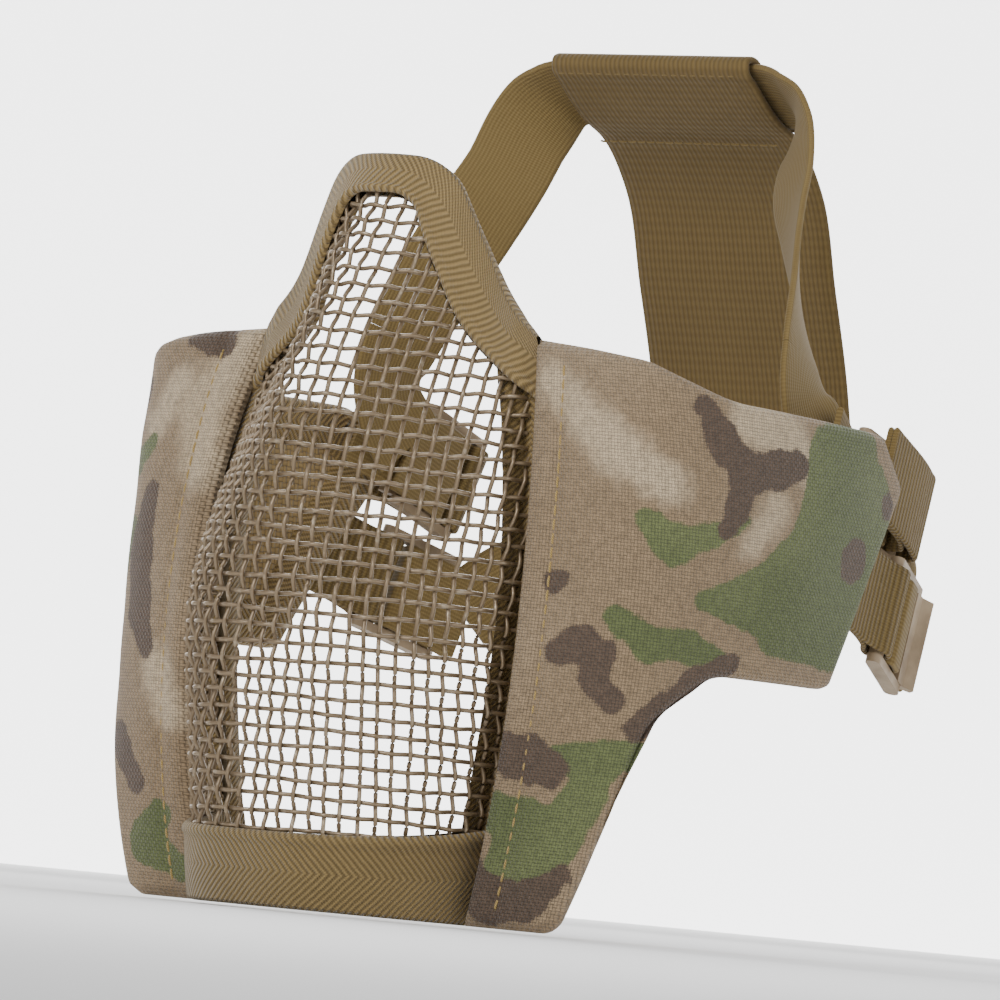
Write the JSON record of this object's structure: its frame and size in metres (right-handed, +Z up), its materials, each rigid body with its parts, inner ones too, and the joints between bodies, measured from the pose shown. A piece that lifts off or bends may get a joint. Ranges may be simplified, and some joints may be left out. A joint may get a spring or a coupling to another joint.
{
  "type": "mesh half-face mask",
  "caption": "Half-face mask with a formed woven-wire front, padded camouflage cheek panels and an adjustable elastic head harness with a wide rear band.",
  "frame": {"origin": "mid-plane at the chin edge, level with the cheek panels' front edges", "axes": "+Z up, -Y the way the wearer faces, +X the wearer's left"},
  "size_m": [0.1482, 0.1511, 0.175],
  "materials": {
    "wire": "painted tan over steel",
    "twill_tape": "herringbone weave",
    "camo_cloth": "coated nylon",
    "foam": "foam",
    "lining_cloth": "air mesh",
    "webbing": "ribbed webbing",
    "elastic": "ribbed elastic",
    "buckle_plastic": "moulded"
  },
  "bodies": {
    "front": {"mesh_screen": "wire", "nose_binding": "twill_tape", "chin_binding": "twill_tape", "left_side_binding": "twill_tape", "right_side_binding": "twill_tape", "crown_strap": "elastic", "nape_strap": "elastic"},
    "left_cheek": {"left_cheek_cover": "camo_cloth", "left_cheek_foam": "foam", "left_cheek_lining": "lining_cloth", "left_cheek_edge_tape": "twill_tape", "left_upper_tab": "webbing", "left_lower_tab": "webbing"},
    "left_upper_buckle_body": {"left_upper_buckle": "buckle_plastic"},
    "left_lower_buckle_body": {"left_lower_buckle": "buckle_plastic"},
    "right_cheek": {"right_cheek_cover": "camo_cloth", "right_cheek_foam": "foam", "right_cheek_lining": "lining_cloth", "right_cheek_edge_tape": "twill_tape", "right_upper_tab": "webbing", "right_lower_tab": "webbing"},
    "right_upper_buckle_body": {"right_upper_buckle": "buckle_plastic"},
    "right_lower_buckle_body": {"right_lower_buckle": "buckle_plastic"},
    "rear_band_body": {"rear_band": "elastic"}
  },
  "joints": [
    {"name": "left_cheek_fold", "type": "hinge", "parent": "front", "child": "left_cheek", "pos_m": [0.038, 0.004, 0.06], "axis": [0, 0, 1], "range_deg": [-8, 18], "deforming": ["crown_strap", "nape_strap"]},
    {"name": "left_upper_buckle_swing", "type": "hinge", "parent": "left_cheek", "child": "left_upper_buckle_body", "pos_m": [0.05604, 0.09371, 0.08784], "axis": [-0.0901, 0.3299, 0.9397], "range_deg": [-10, 4]},
    {"name": "left_lower_buckle_swing", "type": "hinge", "parent": "left_cheek", "child": "left_lower_buckle_body", "pos_m": [0.06524, 0.0812, 0.0681], "axis": [-0.0638, 0.3024, 0.951], "range_deg": [-10, 10]},
    {"name": "right_cheek_fold", "type": "hinge", "parent": "front", "child": "right_cheek", "pos_m": [-0.038, 0.004, 0.06], "axis": [0, 0, -1], "range_deg": [-8, 18]},
    {"name": "right_upper_buckle_swing", "type": "hinge", "parent": "right_cheek", "child": "right_upper_buckle_body", "pos_m": [-0.05604, 0.09371, 0.08784], "axis": [-0.0901, -0.3299, -0.9397], "range_deg": [-10, 4]},
    {"name": "right_lower_buckle_swing", "type": "hinge", "parent": "right_cheek", "child": "right_lower_buckle_body", "pos_m": [-0.06524, 0.0812, 0.0681], "axis": [-0.0638, -0.3024, -0.951], "range_deg": [-10, 10]},
    {"name": "rear_band_slide", "type": "slide", "parent": "front", "child": "rear_band_body", "axis": [1, 0, 0], "range_m": [-0.004, 0.004]}
  ]
}
